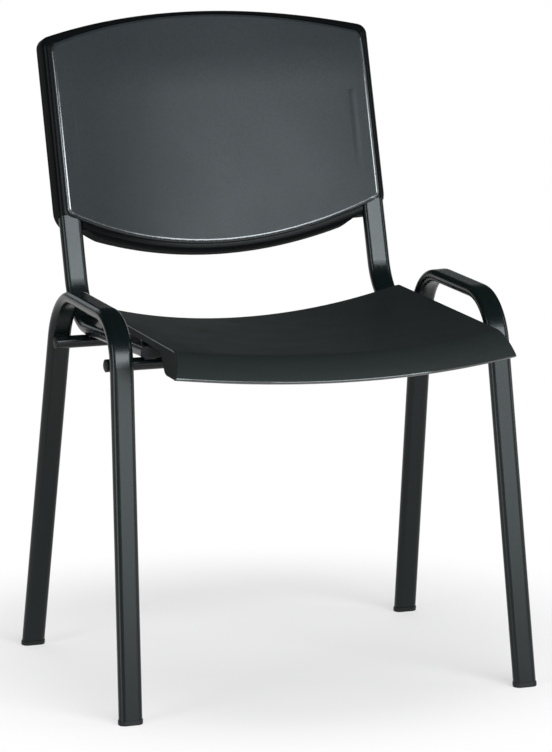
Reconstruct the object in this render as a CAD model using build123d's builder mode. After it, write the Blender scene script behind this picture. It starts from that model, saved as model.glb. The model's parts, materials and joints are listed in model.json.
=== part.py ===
from build123d import *
from math import atan2, cos, degrees, radians, sin, sqrt, tan
import os

os.makedirs("parts", exist_ok=True)

# Stacking visitor chair: a welded frame of bent flat-oval steel tube, a moulded
# plastic seat shell and a two-piece plastic backrest.
# Millimetres. X to the sitter's left, the front edge faces -Y, Z up.
# The origin is on the floor under the middle of the chair's outline.

# Steel tube stock
tube_width = 30.0
tube_depth = 15.0
tube_wall = 1.5
cross_tube_diameter = 16.0
cross_tube_wall = 1.5
weld_gap = 0.25

# Seat shell: dished across, deeper at the rear, rolled down at the front
seat_half_width = 212.2
seat_edge_height = 467.0
seat_wall = 5.0
seat_flare = 19.0
seat_rear_corner_y = 95.9
seat_rear_corner_radius = 16.0
seat_rear_rise = 1.5
seat_rear_bow = 25.5
seat_rear_dish = 35.5
seat_front_corner_y = -278.1
seat_front_bow = 33.0
seat_front_dish = 10.5
seat_roll_radius = 45.0
seat_roll_angle = 70.0
seat_edge_radius = 1.5
seat_lip_radius = 2.0
seat_rim_wall = 3.5
seat_rim_depth = 7.5
seat_cheek_length = 40.0
seat_cheek_slant = 40.0
seat_cheek_radius = 30.0
seat_boss_diameter = 12.0

# Side frames: one inverted U on each side, leaning in towards the top
foot_reach = 50.2
front_foot_y = -218.8
rear_foot_y = 195.2
leg_splay = 1.78
front_leg_lean = 8.8
rear_leg_lean = 11.7
loop_above_seat = 21.0
front_bend_radius = 66.0
rear_bend_radius = 78.0

# Cross tubes, welded behind the front legs and before the rear legs
front_cross_tube_drop = 34.0
rear_cross_tube_drop = 46.0
front_cross_tube_inset = 0.5
rear_cross_tube_inset = 6.5

# Seat and back tubes: under the seat, up into the backrest
seat_tube_inset = 3.2
seat_tube_bend_radius = 74.0
seat_tube_overhang = 14.0
post_reach = 145.0
post_setback = 17.0

# Backrest, measured on a plane that leans back with the posts
back_lean = 18.0
back_corner_y = 170.9
back_corner_rise = 105.8
panel_overhang = 3.4
panel_side_length = 223.2
panel_top_crown = 40.0
panel_bottom_crown = 43.0
panel_corner_radius = 14.0
panel_hollow = 38.0
panel_wall = 2.4
panel_skirt = 10.0
panel_edge_radius = 4.0
panel_fit = 0.3
hook_width = 12.0
hook_barb = 1.2
hook_length = 4.0
hook_play = 1.1
lower_hook_spacing = 120.0
upper_hook_spacing = 340.0
cover_side_margin = 10.5
cover_top_margin = 9.0
cover_top_crown = 36.5
cover_bottom_margin = 12.5
cover_top_radius = 15.0
cover_bottom_radius = 28.0
cover_relief_gap = 7.0
cover_relief_drop = 20.0
cover_relief_slope = 32.0
cover_front_setback = 6.0
cover_depth = 40.0
cover_rear_hollow = 26.0
cover_wall = 2.5
cover_front_radius = 10.0
cover_rear_radius = 6.0
post_fit = 0.4

# Fasteners
seat_screw_inset = 5.0
seat_screw_rear_y = 48.0
seat_screw_front_y = -102.0
seat_screw_diameter = 5.8
seat_screw_bite = 8.0
screw_clearance = 0.4
screw_head_height = 3.4
screw_head_diameter = 10.5
washer_diameter = 12.0
washer_thickness = 1.2
back_screw_diameter = 4.2
back_screw_bite = 6.0
back_screw_head_diameter = 8.0
back_screw_head_height = 2.8
lower_back_screw_height = 34.0
upper_back_screw_drop = 33.0
screw_head_taper = 12.0
back_sleeve_diameter = 13.0

# Plastic plugs
foot_height = 6.0
foot_lip = 0.8
foot_edge_radius = 1.5
plug_fit = 0.25
plug_length = 22.0
cap_rim = 1.5
cap_dome = 2.2
cap_length = 10.0
end_plug_flange = 2.5

# Weld beads
weld_radius = 2.6
weld_reach = 4.6
weld_sink = 1.2
weld_clearance = 0.12

# What follows the seat: the frame beside and under it, and the backrest above it
foot_half_spacing = seat_half_width + foot_reach
seat_tube_half_spacing = seat_half_width - seat_tube_inset
panel_half_width = seat_half_width + panel_overhang
loop_height = seat_edge_height + loop_above_seat
front_cross_tube_height = seat_edge_height - front_cross_tube_drop
rear_cross_tube_height = seat_edge_height - rear_cross_tube_drop
back_corner_height = seat_edge_height + back_corner_rise


def flat_oval(grow=0.0, mode=Mode.ADD):
    """The tube's section, grown or shrunk all round."""
    return SlotOverall(tube_width + 2 * grow, tube_depth + 2 * grow, mode=mode)


def tube_section(plane):
    """The hollow tube's section on a plane."""
    with BuildSketch(plane) as section:
        flat_oval()
        flat_oval(-tube_wall, mode=Mode.SUBTRACT)
    return section.sketch


def mirrored(part):
    """The same piece on the other side of the chair."""
    with BuildPart() as other:
        mirror(part, about=Plane.YZ)
    return other.part


# Side frames
splay = radians(leg_splay)
frame_plane = Plane(
    origin=(foot_half_spacing, 0, 0), x_dir=(0, 1, 0), z_dir=(cos(splay), 0, sin(splay))
)
front_slope = tan(radians(front_leg_lean))
rear_slope = -tan(radians(rear_leg_lean))
loop_rise = loop_height / cos(splay)
leg_run_out = tube_width


def leg_point(foot_y, slope, rise):
    """A point on a leg's centre line, in the side frame's plane."""
    return (foot_y + slope * rise, rise)


with BuildLine(frame_plane) as loop_path:
    FilletPolyline(
        leg_point(front_foot_y, front_slope, -leg_run_out),
        leg_point(front_foot_y, front_slope, loop_rise),
        leg_point(rear_foot_y, rear_slope, loop_rise),
        leg_point(rear_foot_y, rear_slope, -leg_run_out),
        radius=(front_bend_radius, rear_bend_radius),
    )
loop_wire = loop_path.wire()

loop_mouth = Plane(origin=loop_wire @ 0, x_dir=frame_plane.z_dir, z_dir=loop_wire % 0)

with BuildPart() as side_frame_right:
    sweep(tube_section(loop_mouth), path=loop_wire)
    split(bisect_by=Plane.XY.offset(foot_height), keep=Keep.TOP)


# Foot plugs: a flange on the floor and a hollow insert up the leg
def foot_plug(foot_y, slope):
    """One foot plug of the right side frame."""
    foot = frame_plane.from_local_coords((foot_y, 0, 0))
    knee = frame_plane.from_local_coords((foot_y + slope, 1, 0))
    leg_plane = Plane(origin=foot, x_dir=frame_plane.z_dir, z_dir=knee - foot)
    with BuildPart() as plug:
        with BuildSketch(leg_plane.offset(-tube_depth)):
            flat_oval(foot_lip)
        extrude(amount=2 * tube_depth)
        split(bisect_by=Plane.XY, keep=Keep.TOP)
        split(bisect_by=Plane.XY.offset(foot_height), keep=Keep.BOTTOM)
        fillet(plug.faces().sort_by(Axis.Z)[0].edges(), radius=foot_edge_radius)
        with BuildSketch(leg_plane.offset(foot_height / 2)):
            flat_oval(-tube_wall - plug_fit)
        extrude(amount=plug_length)
        with BuildSketch(leg_plane.offset(foot_height + tube_wall)):
            flat_oval(-2 * tube_wall - plug_fit)
        extrude(amount=plug_length, mode=Mode.SUBTRACT)
    return plug.part


foot_plug_front_right = foot_plug(front_foot_y, front_slope)
foot_plug_rear_right = foot_plug(rear_foot_y, rear_slope)

# Cross tubes
cross_radius = cross_tube_diameter / 2
leg_to_cross = tube_depth / 2 + weld_gap + cross_radius
front_cross_rise = front_cross_tube_height / cos(splay)
rear_cross_rise = rear_cross_tube_height / cos(splay)
front_cross_y = (
    leg_point(front_foot_y, front_slope, front_cross_rise)[0]
    + leg_to_cross / cos(radians(front_leg_lean))
)
rear_cross_y = (
    leg_point(rear_foot_y, rear_slope, rear_cross_rise)[0]
    - leg_to_cross / cos(radians(rear_leg_lean))
)


def leg_x(height):
    """How far a leg's centre stands from the middle at a height."""
    return foot_half_spacing - height * tan(splay)


def cross_tube(y, height, half_length):
    """A round tube from side to side."""
    with BuildPart() as tube:
        with BuildSketch(Plane.YZ.offset(-half_length)):
            with Locations((y, height)):
                Circle(cross_radius)
                Circle(cross_radius - cross_tube_wall, mode=Mode.SUBTRACT)
        extrude(amount=2 * half_length)
    return tube.part


def cross_tube_cap(y, height, half_length):
    """The domed cap in a cross tube's right end."""
    end = Plane(origin=(half_length, y, height), x_dir=(1, 0, 0), z_dir=(0, -1, 0))
    insert_radius = cross_radius - cross_tube_wall - plug_fit
    with BuildPart() as cap:
        with BuildSketch(end):
            with BuildLine():
                Polyline(
                    (cap_rim + cap_dome, 0),
                    (-cap_length, 0),
                    (-cap_length, insert_radius),
                    (0, insert_radius),
                    (0, cross_radius),
                    (cap_rim, cross_radius),
                )
                RadiusArc(
                    (cap_rim, cross_radius),
                    (cap_rim + cap_dome, 0),
                    (cross_radius**2 + cap_dome**2) / (2 * cap_dome),
                )
            make_face()
        revolve(axis=Axis((half_length, y, height), (1, 0, 0)))
    return cap.part


front_cross_half = leg_x(front_cross_tube_height) + tube_width / 2 - front_cross_tube_inset
rear_cross_half = leg_x(rear_cross_tube_height) + tube_width / 2 - rear_cross_tube_inset
front_cross_tube = cross_tube(front_cross_y, front_cross_tube_height, front_cross_half)
rear_cross_tube = cross_tube(rear_cross_y, rear_cross_tube_height, rear_cross_half)
cap_front_right = cross_tube_cap(front_cross_y, front_cross_tube_height, front_cross_half)
cap_rear_right = cross_tube_cap(rear_cross_y, rear_cross_tube_height, rear_cross_half)

# The backrest's plane: X across, Y up the back, Z forwards
lean = radians(back_lean)
back_plane = Plane(
    origin=(0, back_corner_y, back_corner_height),
    x_dir=(1, 0, 0),
    z_dir=(0, -cos(lean), sin(lean)),
)

# Seat and back tubes, bent in one upright plane
seat_tube_plane = Plane.YZ.offset(seat_tube_half_spacing)
seat_pitch = atan2(
    front_cross_tube_height - rear_cross_tube_height, rear_cross_y - front_cross_y
)
seat_tube_lift = cross_radius + weld_gap + tube_depth / 2
rear_rest = Vector(rear_cross_y, rear_cross_tube_height) + Vector(
    seat_tube_lift * sin(seat_pitch), seat_tube_lift * cos(seat_pitch)
)
post_foot = Vector(
    back_corner_y + post_setback * cos(lean), back_corner_height - post_setback * sin(lean)
)
post_direction = Vector(sin(lean), cos(lean))


def seat_tube_point(y, lift=0.0):
    """A point over or under the seat tube's centre line, by its place along the chair."""
    along = (rear_rest.X - y) / cos(seat_pitch)
    return Vector(
        y + lift * sin(seat_pitch), rear_rest.Y + along * sin(seat_pitch) + lift * cos(seat_pitch)
    )


rest_to_post = post_foot - rear_rest
bend_run = (rest_to_post.X * cos(lean) - rest_to_post.Y * sin(lean)) / cos(seat_pitch - lean)
bend_corner = rear_rest + Vector(cos(seat_pitch), -sin(seat_pitch)) * bend_run
seat_tube_front = seat_tube_point(front_cross_y - seat_tube_overhang)
post_top = post_foot + post_direction * post_reach

with BuildLine(seat_tube_plane) as seat_tube_path:
    FilletPolyline(
        (seat_tube_front.X, seat_tube_front.Y),
        (bend_corner.X, bend_corner.Y),
        (post_top.X, post_top.Y),
        radius=seat_tube_bend_radius,
    )
seat_tube_wire = seat_tube_path.wire()
seat_tube_mouth = Plane(origin=seat_tube_wire @ 0, x_dir=(1, 0, 0), z_dir=seat_tube_wire % 0)
seat_screw_half_spacing = seat_tube_half_spacing - seat_screw_inset


def seat_screw_plane(y, lift=0.0, side=1):
    """The plane across a seat screw, lifted from the tube's underside."""
    point = seat_tube_point(y, lift - tube_depth / 2)
    return Plane(
        origin=(side * seat_screw_half_spacing, point.X, point.Y),
        x_dir=(1, 0, 0),
        z_dir=(0, sin(seat_pitch), cos(seat_pitch)),
    )


seat_screw_rows = (seat_screw_front_y, seat_screw_rear_y)
back_screw_heights = (lower_back_screw_height, post_reach - upper_back_screw_drop)
back_screw_spots = [
    (side * seat_tube_half_spacing, height) for side in (-1, 1) for height in back_screw_heights
]
post_rear = post_setback + tube_depth / 2

with BuildPart() as seat_back_tube_right:
    sweep(tube_section(seat_tube_mouth), path=seat_tube_wire)
    for row in seat_screw_rows:
        with BuildSketch(seat_screw_plane(row)):
            Circle(seat_screw_diameter / 2 + screw_clearance)
        extrude(amount=tube_depth, both=True, mode=Mode.SUBTRACT)
    with BuildSketch(back_plane.offset(-post_rear)):
        with Locations(*back_screw_spots):
            Circle(back_screw_diameter / 2 + screw_clearance)
    extrude(amount=2 * tube_wall, both=True, mode=Mode.SUBTRACT)

with BuildPart() as seat_tube_plug_right:
    with BuildSketch(seat_tube_mouth):
        flat_oval()
    extrude(amount=-end_plug_flange)
    outwards = Axis(seat_tube_mouth.origin, -seat_tube_mouth.z_dir)
    fillet(seat_tube_plug_right.faces().sort_by(outwards)[-1].edges(), radius=end_plug_flange / 2)
    with BuildSketch(seat_tube_mouth):
        flat_oval(-tube_wall - plug_fit)
    extrude(amount=plug_length)
    with BuildSketch(seat_tube_mouth):
        flat_oval(-2 * tube_wall - plug_fit)
    extrude(amount=plug_length, mode=Mode.SUBTRACT)


# Weld beads in the crotches beside each line where a cross tube meets a flat face
weld_length = tube_width - tube_depth

with BuildPart() as leg_envelope:
    with BuildSketch(loop_mouth):
        flat_oval(weld_clearance)
    sweep(path=loop_wire)


def weld_beads(x, centre, facing):
    """The sections of two beads along X, where a flat face lies beside a cross tube."""
    across = Vector(-facing.Y, facing.X)
    face_point = centre + facing * (cross_radius + weld_gap - weld_clearance)
    face_angle = degrees(atan2(-across.Y, -across.X))
    beads = []
    for hand in (-1, 1):
        bead = face_point + across * (hand * weld_reach) - facing * weld_sink
        with BuildSketch(Plane.YZ.offset(x - weld_length / 2)) as section:
            with Locations((bead.X, bead.Y)):
                Circle(weld_radius)
            with Locations((centre.X, centre.Y)):
                Circle(cross_radius + weld_clearance, mode=Mode.SUBTRACT)
            with Locations(Location((face_point.X, face_point.Y), face_angle)):
                Rectangle(
                    tube_width,
                    tube_depth,
                    align=(Align.CENTER, Align.MIN),
                    mode=Mode.SUBTRACT,
                )
        beads.append(section.sketch)
    return beads


front_cross_centre = Vector(front_cross_y, front_cross_tube_height)
rear_cross_centre = Vector(rear_cross_y, rear_cross_tube_height)
seat_tube_up = Vector(sin(seat_pitch), cos(seat_pitch))
to_front_leg = Vector(-cos(radians(front_leg_lean)), sin(radians(front_leg_lean)))
to_rear_leg = Vector(cos(radians(rear_leg_lean)), sin(radians(rear_leg_lean)))
leg_beads = []
seat_tube_beads = []
for side in (-1, 1):
    leg_beads += weld_beads(
        side * leg_x(front_cross_tube_height), front_cross_centre, to_front_leg
    )
    leg_beads += weld_beads(side * leg_x(rear_cross_tube_height), rear_cross_centre, to_rear_leg)
    for cross_centre in (front_cross_centre, rear_cross_centre):
        seat_tube_beads += weld_beads(side * seat_tube_half_spacing, cross_centre, seat_tube_up)

with BuildPart() as leg_welds:
    for bead_section in leg_beads:
        extrude(bead_section, amount=weld_length)
    add(leg_envelope.part, mode=Mode.SUBTRACT)
    add(mirrored(leg_envelope.part), mode=Mode.SUBTRACT)

with BuildPart() as seat_tube_welds:
    for bead_section in seat_tube_beads:
        extrude(bead_section, amount=weld_length)


# Seat shell: side profiles lofted from edge to edge, on planes that flare out downwards
def seat_share(x):
    """How near a place is to the seat's middle: 0 at the edge, 1 on the centre line."""
    return 1 - (x / seat_half_width) ** 2


def seat_station(x):
    """The plane of a side profile: X along the chair, Y up from the front edge's height."""
    tilt = radians(seat_flare * x / seat_half_width)
    return Plane(
        origin=(x, 0, seat_edge_height), x_dir=(0, 1, 0), z_dir=(cos(tilt), 0, sin(tilt))
    )


def seat_rear(x):
    """The top of the rear edge on a side profile."""
    share = seat_share(x)
    return Vector(
        seat_rear_corner_y + seat_rear_bow * share, seat_rear_rise - seat_rear_dish * share
    )


def seat_fall(x):
    """Where the top starts to roll down at the front, on a side profile."""
    share = seat_share(x)
    run = seat_roll_radius * sin(radians(seat_roll_angle))
    return Vector(
        seat_front_corner_y + run - seat_front_bow * share, -seat_front_dish * share
    )


def seat_top(x, y):
    """The height of the seat's upper face behind the roll."""
    rear = seat_rear(x)
    fall = seat_fall(x)
    share = (rear.X - y) / (rear.X - fall.X)
    return seat_edge_height + rear.Y + (fall.Y - rear.Y) * share


def seat_side_profile(x):
    """The shell's cut along the chair, left long at the rear for trimming."""
    fall = seat_fall(x)
    forward = (fall - seat_rear(x)).normalized()
    rear = seat_rear(x) - forward * seat_wall
    drop = Vector(-forward.Y, forward.X) * seat_wall
    with BuildSketch(seat_station(x)) as profile:
        with BuildLine():
            Line(rear, fall)
            roll = JernArc(fall, forward, seat_roll_radius, seat_roll_angle)
            Line(rear, rear + drop)
            Line(rear + drop, fall + drop)
            under = JernArc(fall + drop, forward, seat_roll_radius - seat_wall, seat_roll_angle)
            Line(roll @ 1, under @ 1)
        make_face()
        fillet(profile.vertices().sort_by_distance(roll @ 1)[0], radius=seat_lip_radius)
    return profile.sketch


def seat_rim_profile(x):
    """The rim along a side edge, deeper at the front where it closes the roll."""
    fall = seat_fall(x)
    forward = (fall - seat_rear(x)).normalized()
    rear = seat_rear(x) - forward * seat_rear_corner_radius
    sink = Vector(0, -seat_wall / 2)
    with BuildSketch(seat_station(x)) as profile:
        with BuildLine():
            Line(rear + sink, fall + sink)
            roll = JernArc(fall + sink, forward, seat_roll_radius - seat_wall / 2, seat_roll_angle)
            cheek_low = Vector(seat_front_corner_y + seat_cheek_length, (roll @ 1).Y)
            Polyline(
                rear + sink,
                (rear.X, -seat_rim_depth),
                (cheek_low.X + seat_cheek_slant, -seat_rim_depth),
                cheek_low,
                roll @ 1,
            )
        make_face()
        fillet(profile.vertices().sort_by_distance(cheek_low)[0], radius=seat_cheek_radius)
    return profile.sketch


seat_stations = [seat_half_width * share for share in (-1, -0.5, 0, 0.5, 1)]
seat_profiles = [seat_side_profile(x) for x in seat_stations]
seat_rims = [(seat_rim_profile(side * seat_half_width), -side) for side in (-1, 1)]
seat_rim_half_width = seat_half_width + seat_rim_depth * tan(radians(seat_flare))

with BuildSketch() as seat_rear_outline:
    with BuildLine():
        ThreePointArc(
            (-seat_rim_half_width, seat_rear_corner_y),
            (0, seat_rear_corner_y + seat_rear_bow),
            (seat_rim_half_width, seat_rear_corner_y),
        )
        Polyline(
            (-seat_rim_half_width, seat_rear_corner_y),
            (-seat_rim_half_width, 0),
            (seat_rim_half_width, 0),
            (seat_rim_half_width, seat_rear_corner_y),
        )
    make_face()
    fillet(
        seat_rear_outline.vertices().sort_by(Axis.Y)[-2:], radius=seat_rear_corner_radius
    )

with BuildSketch() as seat_rear_trim:
    Rectangle(
        4 * seat_half_width, 2 * seat_half_width, align=(Align.CENTER, Align.MIN)
    )
    add(seat_rear_outline.sketch, mode=Mode.SUBTRACT)

with BuildPart() as seat_shell:
    loft(seat_profiles)
    for rim_profile, inward in seat_rims:
        extrude(rim_profile, amount=inward * seat_rim_wall)
    extrude(seat_rear_trim.sketch, amount=2 * seat_edge_height, mode=Mode.SUBTRACT)
    upper_faces = seat_shell.faces().filter_by(
        lambda face: face.normal_at().Z > cos(radians(seat_roll_angle))
    )
    fillet(
        upper_faces.edges().filter_by(lambda edge: abs(edge.center().X) > seat_half_width / 2),
        radius=seat_edge_radius,
    )
    for side in (-1, 1):
        for row in seat_screw_rows:
            seat_under = seat_top(seat_screw_half_spacing, row) - seat_wall / 2
            tube_top = seat_tube_point(row, tube_depth / 2).Y
            with BuildSketch(seat_screw_plane(row, tube_depth, side)):
                Circle(seat_boss_diameter / 2)
            extrude(amount=seat_under - tube_top)
            with BuildSketch(seat_screw_plane(row, tube_depth, side)):
                Circle(seat_screw_diameter / 2 + screw_clearance / 2)
            extrude(amount=seat_screw_bite + screw_clearance, mode=Mode.SUBTRACT)

# Seat screws and washers, up through the tubes into the bosses
with BuildPart() as seat_washers:
    for side in (-1, 1):
        for row in seat_screw_rows:
            with BuildSketch(seat_screw_plane(row, 0, side)):
                Circle(washer_diameter / 2)
                Circle(seat_screw_diameter / 2 + screw_clearance, mode=Mode.SUBTRACT)
            extrude(amount=-washer_thickness)

with BuildPart() as seat_screws:
    for side in (-1, 1):
        for row in seat_screw_rows:
            with BuildSketch(seat_screw_plane(row, -washer_thickness, side)):
                Circle(screw_head_diameter / 2)
            extrude(amount=-screw_head_height, taper=screw_head_taper)
            with BuildSketch(seat_screw_plane(row, -washer_thickness, side)):
                Circle(seat_screw_diameter / 2)
            extrude(amount=washer_thickness + tube_depth + seat_screw_bite)

# Backrest: blocks of the backrest's outline between two hollow curved faces
back_up = back_plane.y_dir
curve_plane = Plane(
    origin=back_plane.from_local_coords((0, -panel_side_length, 0)), x_dir=(1, 0, 0), z_dir=back_up
)


def hollow_radius(hollow):
    """The radius of a face hollowed out by a depth across the panel's width."""
    return (panel_half_width**2 + hollow**2) / (2 * hollow)


def before_face(depth, hollow, mode=Mode.ADD):
    """The disc that a hollow face bounds, seen from above, by its depth at the panel's sides."""
    with Locations((0, depth + hollow - hollow_radius(hollow))):
        Circle(hollow_radius(hollow), mode=mode)


def face_depth(x, depth, hollow):
    """How deep a hollow face lies at a distance from the middle."""
    radius = hollow_radius(hollow)
    return depth + hollow - radius + sqrt(radius**2 - x**2)


outline_plane = back_plane.offset(2 * cover_depth)


def panel_outline(margin):
    """The front panel's outline, grown or shrunk all round."""
    half = panel_half_width + margin
    top = panel_side_length + margin
    with BuildSketch(outline_plane) as outline:
        with BuildLine():
            Line((half, -margin), (half, top))
            ThreePointArc((half, top), (0, top + panel_top_crown), (-half, top))
            Line((-half, top), (-half, -margin))
            ThreePointArc((-half, -margin), (0, -margin - panel_bottom_crown), (half, -margin))
        make_face()
        fillet(outline.vertices(), radius=panel_corner_radius + margin)
    return outline.sketch


def cover_outline(inset):
    """The rear cover's outline, shrunk all round."""
    half = panel_half_width + cover_side_margin - inset
    top = panel_side_length + cover_top_margin - inset
    bottom = inset - cover_bottom_margin
    with BuildSketch(outline_plane) as outline:
        with BuildLine():
            Line((half, bottom), (half, top))
            ThreePointArc((half, top), (0, top + cover_top_crown), (-half, top))
            Line((-half, top), (-half, bottom))
            ThreePointArc((-half, bottom), (0, bottom - panel_bottom_crown), (half, bottom))
        make_face()
        corners = outline.vertices().sort_by(back_plane.location.y_axis)
        fillet(corners[2:], radius=cover_top_radius - inset)
        corners = outline.vertices().sort_by(back_plane.location.y_axis)
        fillet(corners[:2], radius=cover_bottom_radius - inset)
    return outline.sketch


def relieved(block, grow):
    """A block of the cover without its lower edge beside the posts."""
    near = seat_tube_half_spacing - tube_width / 2 - cover_relief_gap - grow
    far = panel_half_width + cover_side_margin
    high = grow - cover_relief_drop
    fall = cover_depth
    low = high - fall
    with BuildPart() as rest:
        add(block)
        with BuildSketch(outline_plane):
            for side in (-1, 1):
                with BuildLine():
                    Polyline(
                        (side * near, high),
                        (side * far, high),
                        (side * far, low),
                        (side * (near - fall / tan(radians(cover_relief_slope))), low),
                        close=True,
                    )
                make_face()
        extrude(amount=-4 * cover_depth - panel_hollow, mode=Mode.SUBTRACT)
    return rest.part


def curved_block(outline, front_depth, rear_depth, rear_hollow, front_radius=0.0, rear_radius=0.0):
    """The outline cut out of a hollow curved slab, with rounded front and rear edges."""
    with BuildPart() as block:
        extrude(outline, amount=-4 * cover_depth - panel_hollow)
        with BuildSketch(curve_plane):
            before_face(rear_depth, rear_hollow)
            before_face(front_depth, panel_hollow, mode=Mode.SUBTRACT)
        extrude(amount=3 * panel_side_length, mode=Mode.INTERSECT)
        big_faces = block.faces().sort_by(SortBy.AREA)[-2:]
        forwards = Axis(back_plane.origin, back_plane.z_dir)
        front_face = big_faces.sort_by(forwards)[-1]
        rear_face = big_faces.sort_by(forwards)[0]
        if front_radius:
            fillet(front_face.edges(), radius=front_radius)
        if rear_radius:
            fillet(rear_face.edges(), radius=rear_radius)
    return block.part


cover_front_wall = cover_front_setback + cover_wall
panel_block = curved_block(panel_outline(0), 0, panel_skirt, panel_hollow, panel_edge_radius)
panel_cavity = curved_block(
    panel_outline(-panel_wall),
    panel_wall,
    2 * panel_skirt,
    panel_hollow,
    panel_edge_radius - panel_wall,
)
panel_mouth = curved_block(panel_outline(panel_fit), 0, panel_skirt + panel_fit, panel_hollow)
cover_block = curved_block(
    cover_outline(0),
    cover_front_setback,
    cover_depth,
    cover_rear_hollow,
    cover_front_radius,
    cover_rear_radius,
)
cover_cavity = curved_block(
    cover_outline(cover_wall),
    cover_front_wall,
    cover_depth - cover_wall,
    cover_rear_hollow,
    cover_front_radius - cover_wall,
    cover_rear_radius - cover_wall,
)

post_mouth = Plane(
    origin=back_plane.from_local_coords((0, -panel_side_length, -post_setback)),
    x_dir=(1, 0, 0),
    z_dir=back_up,
)
post_spots = [(side * seat_tube_half_spacing, 0) for side in (-1, 1)]
sleeve_length = (
    face_depth(seat_tube_half_spacing, cover_depth, cover_rear_hollow)
    - cover_wall / 2
    - post_rear
    - post_fit
)

# Snap hooks on the panel's skirt, which catch behind the cover's front wall
hook_front = cover_front_wall + hook_play
hook_rear = hook_front + hook_length
lower_hooks = [(spot * lower_hook_spacing, 0) for spot in (-1, 0, 1)]
upper_hooks = [(side * upper_hook_spacing / 2, panel_side_length) for side in (-1, 1)]

with BuildPart() as panel_hooks:
    add(curved_block(panel_outline(0), panel_skirt / 2, hook_rear, panel_hollow))
    add(curved_block(panel_outline(panel_fit + hook_barb), hook_front, hook_rear, panel_hollow))
    with BuildSketch(outline_plane):
        with Locations(*lower_hooks, *upper_hooks):
            Rectangle(hook_width, panel_side_length)
    extrude(amount=-4 * cover_depth - panel_hollow, mode=Mode.INTERSECT)

with BuildPart() as backrest_panel:
    add(panel_block)
    add(panel_hooks.part)
    add(panel_cavity, mode=Mode.SUBTRACT)
    with BuildSketch(post_mouth):
        with Locations(*post_spots):
            flat_oval(post_fit)
    extrude(amount=panel_side_length + post_reach + post_fit, mode=Mode.SUBTRACT)

with BuildPart() as backrest_cover:
    add(relieved(cover_block, 0))
    add(relieved(cover_cavity, cover_wall), mode=Mode.SUBTRACT)
    add(panel_mouth, mode=Mode.SUBTRACT)
    with BuildSketch(post_mouth):
        with Locations(*post_spots):
            Rectangle(
                tube_width + 2 * post_fit, 2 * post_setback, align=(Align.CENTER, Align.MAX)
            )
    extrude(amount=panel_side_length, mode=Mode.SUBTRACT)
    with BuildSketch(back_plane.offset(-post_rear - post_fit)):
        with Locations(*back_screw_spots):
            Circle(back_sleeve_diameter / 2)
    extrude(amount=-sleeve_length)
    with BuildSketch(post_mouth):
        with Locations(*post_spots):
            flat_oval(post_fit)
    extrude(amount=panel_side_length + post_reach + post_fit, mode=Mode.SUBTRACT)
    with BuildSketch(back_plane.offset(-post_rear - post_fit)):
        with Locations(*back_screw_spots):
            Circle(back_screw_diameter / 2 + screw_clearance)
    extrude(amount=-2 * cover_depth, mode=Mode.SUBTRACT)
    with BuildSketch(back_plane.offset(-post_rear - post_fit - cover_wall)):
        with Locations(*back_screw_spots):
            Circle(back_screw_head_diameter / 2 + screw_clearance)
    extrude(amount=-2 * cover_depth, mode=Mode.SUBTRACT)

# Backrest screws, from the rear through the cover's sleeves into the posts
with BuildPart() as backrest_screws:
    with BuildSketch(back_plane.offset(-post_rear - post_fit - cover_wall)):
        with Locations(*back_screw_spots):
            Circle(back_screw_head_diameter / 2)
    extrude(amount=-back_screw_head_height, taper=screw_head_taper)
    with BuildSketch(back_plane.offset(-post_rear - post_fit - cover_wall)):
        with Locations(*back_screw_spots):
            Circle(back_screw_diameter / 2)
    extrude(amount=cover_wall + post_fit + back_screw_bite)

pieces = {
    "side_frame_right": side_frame_right.part,
    "side_frame_left": mirrored(side_frame_right.part),
    "seat_back_tube_right": seat_back_tube_right.part,
    "seat_back_tube_left": mirrored(seat_back_tube_right.part),
    "front_cross_tube": front_cross_tube,
    "rear_cross_tube": rear_cross_tube,
    "leg_welds": leg_welds.part,
    "seat_tube_welds": seat_tube_welds.part,
    "foot_plug_front_right": foot_plug_front_right,
    "foot_plug_front_left": mirrored(foot_plug_front_right),
    "foot_plug_rear_right": foot_plug_rear_right,
    "foot_plug_rear_left": mirrored(foot_plug_rear_right),
    "cross_tube_cap_front_right": cap_front_right,
    "cross_tube_cap_front_left": mirrored(cap_front_right),
    "cross_tube_cap_rear_right": cap_rear_right,
    "cross_tube_cap_rear_left": mirrored(cap_rear_right),
    "seat_tube_plug_right": seat_tube_plug_right.part,
    "seat_tube_plug_left": mirrored(seat_tube_plug_right.part),
    "seat_shell": seat_shell.part,
    "seat_screws": seat_screws.part,
    "seat_washers": seat_washers.part,
    "backrest_panel": backrest_panel.part,
    "backrest_cover": backrest_cover.part,
    "backrest_screws": backrest_screws.part,
}
for name, piece in pieces.items():
    piece.label = name
    export_step(piece, f"parts/{name}.step")
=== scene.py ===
import json
from math import cos, pi, radians, sin

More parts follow.
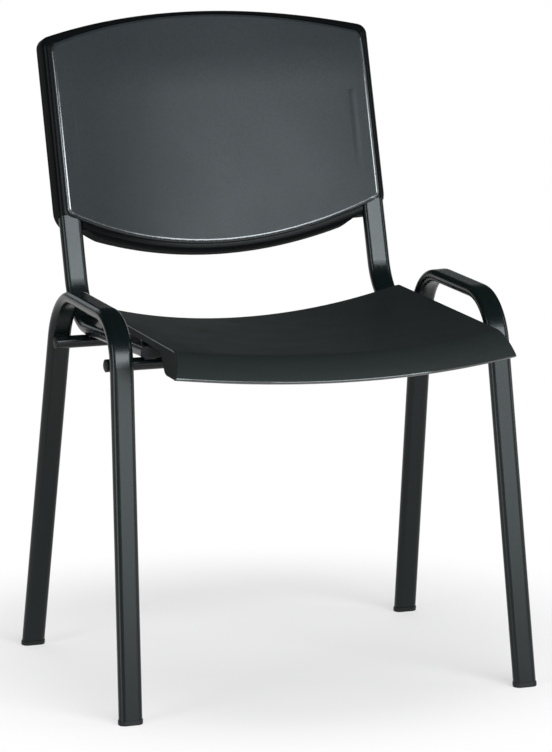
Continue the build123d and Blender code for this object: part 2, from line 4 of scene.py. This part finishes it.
import bmesh
import bpy
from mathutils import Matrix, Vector


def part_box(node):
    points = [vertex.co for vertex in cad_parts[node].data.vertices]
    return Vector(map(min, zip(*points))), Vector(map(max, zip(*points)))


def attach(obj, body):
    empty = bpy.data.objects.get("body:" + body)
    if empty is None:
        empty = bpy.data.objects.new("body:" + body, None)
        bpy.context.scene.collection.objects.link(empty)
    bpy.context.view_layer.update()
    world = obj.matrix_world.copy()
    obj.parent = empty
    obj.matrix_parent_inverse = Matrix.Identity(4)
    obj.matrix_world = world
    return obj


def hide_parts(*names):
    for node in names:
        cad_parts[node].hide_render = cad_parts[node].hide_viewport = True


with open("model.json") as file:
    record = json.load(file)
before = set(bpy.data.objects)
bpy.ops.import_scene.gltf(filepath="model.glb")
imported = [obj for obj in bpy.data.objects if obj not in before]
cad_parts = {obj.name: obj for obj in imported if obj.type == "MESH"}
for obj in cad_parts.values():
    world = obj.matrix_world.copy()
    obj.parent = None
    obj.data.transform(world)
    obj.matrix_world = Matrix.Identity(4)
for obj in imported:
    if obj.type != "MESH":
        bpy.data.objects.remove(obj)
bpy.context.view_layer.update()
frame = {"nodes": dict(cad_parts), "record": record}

# Lengths are in metres, unless a name says otherwise. The chair's front faces -Y.

# Camera
image_height_pixels = 752
focal_length_pixels = 4373.7
sensor_mm = 36.0
view_azimuth = radians(-19.91)
view_elevation = radians(11.18)
view_distance = 5.5706
view_target = Vector((0.0023, -0.0118, 0.3794))

# Stage; the floor glows more away from the chair, which paints a soft grey shade on the floor around the
# chair, and the sky less above the horizon
white = (1.0, 1.0, 1.0, 1.0)
cool_light = (0.87, 0.96, 1.0)
floor_size = 60.0
floor_colour = (0.83, 0.755, 0.73, 1.0)
floor_glow = (0.49, 1.0)
# Centre and reach of the painted shade around the chair, where the floor glows less
painted_shade_centre = (0.03, 0.06, 0.0)
painted_shade_reach = (0.28, 0.6)
sky_light = (1.0, 0.03)
horizon_fade = (0.05, 0.1)

# Ends of masks, and the limits of most of a noise's values
off_to_on = (0.0, 1.0)
on_to_off = (1.0, 0.0)
noise_limits = (0.3, 0.7)

# Directions; the backrest leans back with the posts
to_right = (1.0, 0.0, 0.0)
to_front = (0.0, -1.0, 0.0)
upwards = (0.0, 0.0, 1.0)
back_lean = radians(18.0)
back_normal = (0.0, -cos(back_lean), sin(back_lean))
back_up = (0.0, sin(back_lean), cos(back_lean))


def reach_up(name):
    """How far a node reaches along the backrest's own upward direction."""
    return max(Vector(back_up).dot(vertex.co) for vertex in frame["nodes"][name].data.vertices)


# Backrest panel, with straight sides, crowned ends and a polished edge
panel_half_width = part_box("backrest_panel")[1].x
panel_side_length = 0.2232
panel_top_crown = 0.040
panel_bottom_crown = 0.043
panel_top = reach_up("backrest_panel")
panel_bottom = panel_top - panel_top_crown - panel_side_length - panel_bottom_crown
panel_bottom_radius = (panel_half_width**2 + panel_bottom_crown**2) / (2 * panel_bottom_crown)
panel_edge_width = 0.0046
panel_edge_softness = 0.0004
panel_grain_depth = 0.00006

# Bend of the panel's top, which starts below the top and is full after its length
bend_drop = 0.105
bend_length = 0.055
bend_slope = 0.075
bend_cuts = 24
weld_distance = 0.000002

# Faint ridge on the panel along the inner side of each post
ridge_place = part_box("seat_back_tube_right")[0].x
ridge_top = reach_up("seat_back_tube_right")
ridge_length = 0.115
ridge_full_length = 0.06
ridge_half_width = 0.003
ridge_height = 0.0003


def shader_tree(name):
    """A new material, its node tree and its main shader."""
    material = bpy.data.materials.new(name)
    material.use_nodes = True
    tree = material.node_tree
    return material, tree, tree.nodes["Principled BSDF"]


def add_node(tree, kind, links=None, **values):
    """A node with some of its properties set and some of its inputs linked."""
    node = tree.nodes.new(kind)
    for name, value in values.items():
        setattr(node, name, value)
    for name, source in (links or {}).items():
        tree.links.new(source, node.inputs[name])
    return node


def position(tree):
    """Places on the object, in the chair's own frame."""
    return add_node(tree, "ShaderNodeTexCoord").outputs["Object"]


def noise(tree, scale, detail=2.0, roughness=0.5):
    """Soft random patches; scale is in patches per metre."""
    node = add_node(tree, "ShaderNodeTexNoise", {"Vector": position(tree)})
    node.inputs["Scale"].default_value = scale
    node.inputs["Detail"].default_value = detail
    node.inputs["Roughness"].default_value = roughness
    return node.outputs["Fac"]


def cells(tree, scale):
    """Moulded grain: the distance to the nearest of scattered points."""
    node = add_node(tree, "ShaderNodeTexVoronoi", {"Vector": position(tree)}, feature="SMOOTH_F1")
    node.inputs["Scale"].default_value = scale
    return node.outputs["Distance"]


def spread(tree, source, to_limits, from_limits=noise_limits, shape="LINEAR"):
    """A source's range stretched to new limits, and held within them."""
    node = add_node(tree, "ShaderNodeMapRange", {"Value": source}, interpolation_type=shape)
    sockets = ("From Min", "From Max", "To Min", "To Max")
    for name, limit in zip(sockets, (*from_limits, *to_limits)):
        node.inputs[name].default_value = limit
    return node.outputs["Result"]


def below(tree, source, limit, softness):
    """1 where a source is under a limit, 0 over it, with a soft edge."""
    return spread(tree, source, on_to_off, (limit - softness, limit + softness), "SMOOTHSTEP")


def combine(tree, operation, first, second=0.0):
    """A sum, product and so on of two sources, or of a source and a number."""
    node = add_node(tree, "ShaderNodeMath", operation=operation)
    for socket, value in zip(node.inputs, (first, second)):
        if isinstance(value, (int, float)):
            socket.default_value = value
        else:
            tree.links.new(value, socket)
    return node.outputs[0]


def compare(tree, operation, source, vector):
    """A number from a vector source and a fixed vector, such as their distance."""
    node = add_node(tree, "ShaderNodeVectorMath", {0: source}, operation=operation)
    node.inputs[1].default_value = vector
    return node.outputs["Value"]


def facing(tree, direction):
    """How squarely the surface faces a direction."""
    normal = add_node(tree, "ShaderNodeNewGeometry").outputs["Normal"]
    return compare(tree, "DOT_PRODUCT", normal, direction)


def blend_colours(tree, share, first, second):
    """From one colour to another by a share."""
    node = add_node(tree, "ShaderNodeMix", {"Factor": share}, data_type="RGBA")
    colours = [socket for socket in node.inputs if socket.type == "RGBA"]
    colours[0].default_value = (*first, 1.0)
    colours[1].default_value = (*second, 1.0)
    return [socket for socket in node.outputs if socket.type == "RGBA"][0]


def relief(tree, shader, height, depth):
    """A fine relief on the surface, and its normal; a height of 1 stands out by the depth."""
    node = add_node(tree, "ShaderNodeBump", {"Height": height})
    node.inputs["Strength"].default_value = 1.0
    node.inputs["Distance"].default_value = depth
    tree.links.new(node.outputs["Normal"], shader.inputs["Normal"])
    return node.outputs["Normal"]


def polish(tree, shader, share, roughness, gloss):
    """A smoother skin over a share of the surface, as where a mould is polished; gloss is its IOR."""
    tree.links.new(share, shader.inputs["Coat Weight"])
    shader.inputs["Coat Roughness"].default_value = roughness
    shader.inputs["Coat IOR"].default_value = gloss


def frame_paint():
    """Black satin powder coat with a fine orange peel."""
    dark = (0.0018, 0.0034, 0.0034)
    light = (0.0034, 0.0058, 0.0058)
    roughness = (0.22, 0.28)
    specular = 0.28
    peel_depth = 0.00003
    material, tree, shader = shader_tree("frame_paint_look")
    patches = noise(tree, scale=9.0, detail=4.0)
    tree.links.new(blend_colours(tree, patches, dark, light), shader.inputs["Base Color"])
    tree.links.new(spread(tree, patches, roughness), shader.inputs["Roughness"])
    shader.inputs["Specular IOR Level"].default_value = specular
    relief(tree, shader, noise(tree, scale=700.0), peel_depth)
    return material


def moulded_plastic(name, dark, light, roughness, specular, grain_scale):
    """Dark plastic with a fine speckle and cloudy gloss, and the height of its moulded grain."""
    material, tree, shader = shader_tree(name)
    clouds = noise(tree, scale=14.0, detail=5.0, roughness=0.6)
    speckle = spread(tree, noise(tree, scale=420.0, detail=3.0, roughness=0.7), off_to_on)
    tree.links.new(blend_colours(tree, speckle, dark, light), shader.inputs["Base Color"])
    tree.links.new(spread(tree, clouds, roughness), shader.inputs["Roughness"])
    shader.inputs["Specular IOR Level"].default_value = specular
    grain = combine(tree, "ADD", cells(tree, grain_scale), noise(tree, scale=2.0 * grain_scale))
    return material, tree, shader, grain


def seat_plastic():
    """Greenish black with a dull grain, polished on the lip and along the side edges."""
    side_limits = (0.42, 0.6)
    edge_limits = (0.36, 0.45)
    front_limits = (0.3, 0.5)
    lip_limits = (0.36, 0.4)
    grain_depth = 0.00007
    material, tree, shader, grain = moulded_plastic(
        "seat_plastic_look",
        dark=(0.0095, 0.0113, 0.0106),
        light=(0.0129, 0.015, 0.014),
        roughness=(0.56, 0.64),
        specular=0.1,
        grain_scale=900.0,
    )
    level = facing(tree, upwards)
    sideways = combine(tree, "ABSOLUTE", facing(tree, to_right))
    side = spread(tree, sideways, off_to_on, side_limits, "SMOOTHSTEP")
    edge = combine(tree, "MULTIPLY", side, spread(tree, level, off_to_on, edge_limits))
    front = spread(tree, facing(tree, to_front), off_to_on, front_limits)
    lip = combine(tree, "MULTIPLY", front, spread(tree, level, on_to_off, lip_limits, "SMOOTHSTEP"))
    polish(tree, shader, combine(tree, "MAXIMUM", edge, lip), roughness=0.12, gloss=1.8)
    relief(tree, shader, grain, grain_depth)
    return material


def panel_inset(tree, x, across, height):
    """How far a place on the panel lies from its bottom or its sides, whichever is nearer."""
    bottom_centre = (0.0, panel_bottom + panel_bottom_radius, 0.0)
    spot = add_node(tree, "ShaderNodeCombineXYZ", {"X": x, "Y": height}).outputs["Vector"]
    from_centre = compare(tree, "DISTANCE", spot, bottom_centre)
    from_bottom = combine(tree, "SUBTRACT", panel_bottom_radius, from_centre)
    from_side = combine(tree, "SUBTRACT", panel_half_width, across)
    return combine(tree, "MINIMUM", from_bottom, from_side)


def panel_ridge(tree, across, height):
    """The height of the ridge along each post, which fades out downwards, in grain depths."""
    ridge_fade = (ridge_top - ridge_length, ridge_top - ridge_full_length)
    fade_height = (0.0, ridge_height / panel_grain_depth)
    inside = below(tree, across, ridge_place - ridge_half_width, ridge_half_width)
    outside = below(tree, across, ridge_place + ridge_half_width, ridge_half_width)
    end = below(tree, height, ridge_top, ridge_half_width)
    fade = spread(tree, height, fade_height, ridge_fade, "SMOOTHSTEP")
    ridge = combine(tree, "MULTIPLY", combine(tree, "SUBTRACT", outside, inside), end)
    return combine(tree, "MULTIPLY", ridge, fade)


def panel_plastic():
    """Blue-grey satin, polished at the sides and bottom, with a faint ridge along each post."""
    front_limits = (0.58, 0.76)
    material, tree, shader, grain = moulded_plastic(
        "panel_plastic_look",
        dark=(0.012, 0.0139, 0.0154),
        light=(0.0195, 0.0218, 0.0236),
        roughness=(0.32, 0.38),
        specular=0.18,
        grain_scale=1100.0,
    )
    place = position(tree)
    x = add_node(tree, "ShaderNodeSeparateXYZ", {"Vector": place}).outputs["X"]
    across = combine(tree, "ABSOLUTE", x)
    height = compare(tree, "DOT_PRODUCT", place, back_up)
    edge = below(tree, panel_inset(tree, x, across, height), panel_edge_width, panel_edge_softness)
    front = spread(tree, facing(tree, back_normal), off_to_on, front_limits, "SMOOTHSTEP")
    polish(tree, shader, combine(tree, "MULTIPLY", edge, front), roughness=0.12, gloss=1.85)
    ridged_grain = combine(tree, "ADD", grain, panel_ridge(tree, across, height))
    relief(tree, shader, ridged_grain, panel_grain_depth)
    return material


def cover_plastic():
    """Black, smooth on the rounded front, dull on the walls and satin on the rear."""
    wall_limits = (0.1, 0.5)
    wall_roughness = 0.6
    rear_limits = (-0.85, -0.5)
    rear_wear = (0.45, 0.65)
    grain_depth = 0.00003
    material, tree, shader, grain = moulded_plastic(
        "cover_plastic_look",
        dark=(0.0026, 0.0029, 0.003),
        light=(0.0038, 0.0042, 0.0043),
        roughness=(0.18, 0.22),
        specular=0.05,
        grain_scale=1400.0,
    )
    wall = spread(tree, facing(tree, back_normal), on_to_off, wall_limits, "SMOOTHSTEP")
    smooth = shader.inputs["Roughness"].links[0].from_socket
    roughness = combine(tree, "ADD", smooth, combine(tree, "MULTIPLY", wall, wall_roughness))
    tree.links.new(roughness, shader.inputs["Roughness"])
    rear = spread(tree, facing(tree, back_normal), on_to_off, rear_limits, "SMOOTHSTEP")
    wear = spread(tree, noise(tree, scale=11.0, detail=6.0, roughness=0.65), rear_wear)
    polish(tree, shader, combine(tree, "MULTIPLY", rear, wear), roughness=0.32, gloss=1.5)
    grained_normal = relief(tree, shader, grain, grain_depth)
    tree.links.new(grained_normal, shader.inputs["Coat Normal"])
    return material


def plug_plastic():
    """Black, dull plastic."""
    grain_depth = 0.00005
    material, tree, shader, grain = moulded_plastic(
        "plug_plastic_look",
        dark=(0.005, 0.0052, 0.0055),
        light=(0.008, 0.0083, 0.0088),
        roughness=(0.45, 0.55),
        specular=0.25,
        grain_scale=1200.0,
    )
    relief(tree, shader, grain, grain_depth)
    return material


def fastener_steel():
    """Zinc-plated steel with a fine, uneven shine."""
    dark = (0.42, 0.42, 0.43)
    light = (0.62, 0.62, 0.6)
    roughness = (0.28, 0.45)
    plating_depth = 0.00002
    material, tree, shader = shader_tree("fastener_steel_look")
    patches = noise(tree, scale=260.0, detail=4.0)
    tree.links.new(blend_colours(tree, patches, dark, light), shader.inputs["Base Color"])
    tree.links.new(spread(tree, patches, roughness), shader.inputs["Roughness"])
    shader.inputs["Metallic"].default_value = 1.0
    relief(tree, shader, noise(tree, scale=1500.0), plating_depth)
    return material


looks = {
    "frame_paint": frame_paint(),
    "seat_plastic": seat_plastic(),
    "panel_plastic": panel_plastic(),
    "cover_plastic": cover_plastic(),
    "plug_plastic": plug_plastic(),
    "fastener_steel": fastener_steel(),
}
slot_of_node = {entry["node"]: entry["material_slot"] for entry in frame["record"]["subparts"]}
for name, node in frame["nodes"].items():
    node.material_slots[0].material = looks[slot_of_node[name]]


def bend_at(height):
    """How far back the panel's top lies at a height, and how steeply it leans away there."""
    past = height - (panel_top - bend_drop)
    bent = min(max(past / bend_length, 0.0), 1.0)
    slope = bend_slope * bent
    return slope * (past - bent * bend_length / 2), slope


def cut_panel(up):
    """The CAD panel's mesh with level cuts through its top, and the layer of its corner normals."""
    straight = frame["nodes"]["backrest_panel"].data
    shape = bmesh.new()
    shape.from_mesh(straight)
    straight_normal = shape.loops.layers.float_vector.new("straight_normal")
    corners = [loop for face in shape.faces for loop in face.loops]
    for corner, normal in zip(corners, straight.corner_normals):
        corner[straight_normal] = normal.vector
    bmesh.ops.remove_doubles(shape, verts=shape.verts[:], dist=weld_distance)
    for cut in range(bend_cuts):
        level = up * (panel_top - bend_drop * (cut + 1) / bend_cuts)
        everything = [*shape.verts, *shape.edges, *shape.faces]
        bmesh.ops.bisect_plane(shape, geom=everything, dist=weld_distance, plane_co=level, plane_no=up)
    return shape, straight_normal


def make_bent_panel():
    """The backrest panel with its top bent back a little, where the CAD panel is straight."""
    up = Vector(back_up)
    forward = Vector(back_normal)
    shape, straight_normal = cut_panel(up)
    normals = []
    for face in shape.faces:
        for corner in face.loops:
            normal = corner[straight_normal]
            slope = bend_at(up.dot(corner.vert.co))[1]
            normals.append((normal + up * slope * normal.dot(forward)).normalized())
    for vertex in shape.verts:
        vertex.co -= forward * bend_at(up.dot(vertex.co))[0]
    shape.loops.layers.float_vector.remove(straight_normal)

    mesh = bpy.data.meshes.new("backrest_panel_bent")
    shape.to_mesh(mesh)
    shape.free()
    mesh.normals_split_custom_set(normals)
    mesh.materials.append(looks["panel_plastic"])
    panel = bpy.data.objects.new("backrest_panel_bent", mesh)
    bpy.context.scene.collection.objects.link(panel)
    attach(panel, "root")
    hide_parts("backrest_panel")


def seen_directly(tree):
    """1 for what is seen straight, by a mirror or through glass, and 0 for scattered light."""
    path = add_node(tree, "ShaderNodeLightPath")
    first = combine(tree, "MAXIMUM", path.outputs["Is Camera Ray"], path.outputs["Is Glossy Ray"])
    return combine(tree, "MAXIMUM", first, path.outputs["Is Transmission Ray"])


def make_floor():
    """A pale floor that fades to white away from the chair, with a painted soft grey shade around the
    chair where it glows less, and keeps the chair's shadow.
    """
    half = floor_size / 2
    mesh = bpy.data.meshes.new("floor")
    corners = [(-half, -half, 0), (half, -half, 0), (half, half, 0), (-half, half, 0)]
    mesh.from_pydata(corners, [], [(0, 1, 2, 3)])
    floor = bpy.data.objects.new("floor", mesh)
    bpy.context.scene.collection.objects.link(floor)
    material, tree, shader = shader_tree("floor_look")
    tree.nodes.remove(shader)
    paint = add_node(tree, "ShaderNodeBsdfDiffuse")
    paint.inputs["Color"].default_value = floor_colour
    glow = add_node(tree, "ShaderNodeEmission")
    glow.inputs["Color"].default_value = white
    # Less glow near the chair paints a soft pool of shade on the floor around it
    away = compare(tree, "DISTANCE", position(tree), painted_shade_centre)
    fade = spread(tree, away, floor_glow, painted_shade_reach, "SMOOTHSTEP")
    share = combine(tree, "MULTIPLY", fade, seen_directly(tree))
    mix = add_node(tree, "ShaderNodeMixShader", {"Fac": share, 1: paint.outputs[0], 2: glow.outputs[0]})
    tree.links.new(mix.outputs[0], tree.nodes["Material Output"].inputs["Surface"])
    mesh.materials.append(material)


def make_world():
    """A white horizon under a dim studio ceiling."""
    world = bpy.data.worlds.new("studio")
    world.use_nodes = True
    tree = world.node_tree
    background = tree.nodes["Background"]
    background.inputs["Color"].default_value = white
    direction = add_node(tree, "ShaderNodeTexCoord").outputs["Generated"]
    height = add_node(tree, "ShaderNodeSeparateXYZ", {"Vector": direction}).outputs["Z"]
    strength = spread(tree, height, sky_light, horizon_fade, "SMOOTHSTEP")
    tree.links.new(strength, background.inputs["Strength"])
    bpy.context.scene.world = world


def softbox(name, place, aim, width, height, radiance, mirrored=True):
    """An evenly bright lamp, aimed at a height on the chair's middle, and mirrored or not in gloss."""
    lamp = bpy.data.lights.new(name, "AREA")
    lamp.shape = "RECTANGLE"
    lamp.size = width
    lamp.size_y = height
    lamp.energy = radiance * width * height * pi
    lamp.color = cool_light
    holder = bpy.data.objects.new(name, lamp)
    holder.location = place
    target = Vector((0.0, 0.0, aim))
    holder.rotation_euler = (target - Vector(place)).to_track_quat("-Z", "Y").to_euler()
    holder.visible_camera = False
    holder.visible_glossy = mirrored
    bpy.context.scene.collection.objects.link(holder)


def make_lights():
    """Soft studio light from the front, the sides and above, and a little from behind."""
    softbox("front_softbox", (0.4, -2.6, 1.6), aim=0.6, width=2.8, height=0.95, radiance=12.5)
    softbox("low_softbox", (0.85, -2.6, 0.65), aim=0.4, width=1.5, height=0.8, radiance=4.5)
    softbox("left_softbox", (-2.4, -1.2, 1.08), aim=0.8, width=0.9, height=2.1, radiance=5.0)
    softbox("right_softbox", (2.6, -1.0, 1.3), aim=0.6, width=0.6, height=2.0, radiance=4.0)
    softbox("top_softbox", (0.0, 0.2, 3.0), aim=0.4, width=2.0, height=2.0, radiance=3.0, mirrored=False)
    softbox("back_right_softbox", (1.5, 2.8, 1.2), aim=0.5, width=1.0, height=0.9, radiance=0.15)
    softbox("back_left_softbox", (-0.7, 2.8, 1.5), aim=0.5, width=1.2, height=0.9, radiance=1.2)


def make_camera():
    """The photograph's view of the chair."""
    camera_data = bpy.data.cameras.new("camera")
    camera_data.sensor_width = sensor_mm
    camera_data.lens = focal_length_pixels * sensor_mm / image_height_pixels
    camera = bpy.data.objects.new("camera", camera_data)
    towards_viewer = Vector(
        (
            sin(view_azimuth) * cos(view_elevation),
            -cos(view_azimuth) * cos(view_elevation),
            sin(view_elevation),
        )
    )
    camera.location = view_target + towards_viewer * view_distance
    camera.rotation_euler = (-towards_viewer).to_track_quat("-Z", "Y").to_euler()
    bpy.context.scene.collection.objects.link(camera)
    bpy.context.scene.camera = camera


make_bent_panel()
make_floor()
make_world()
make_lights()
make_camera()
bpy.context.scene.view_settings.view_transform = "Standard"
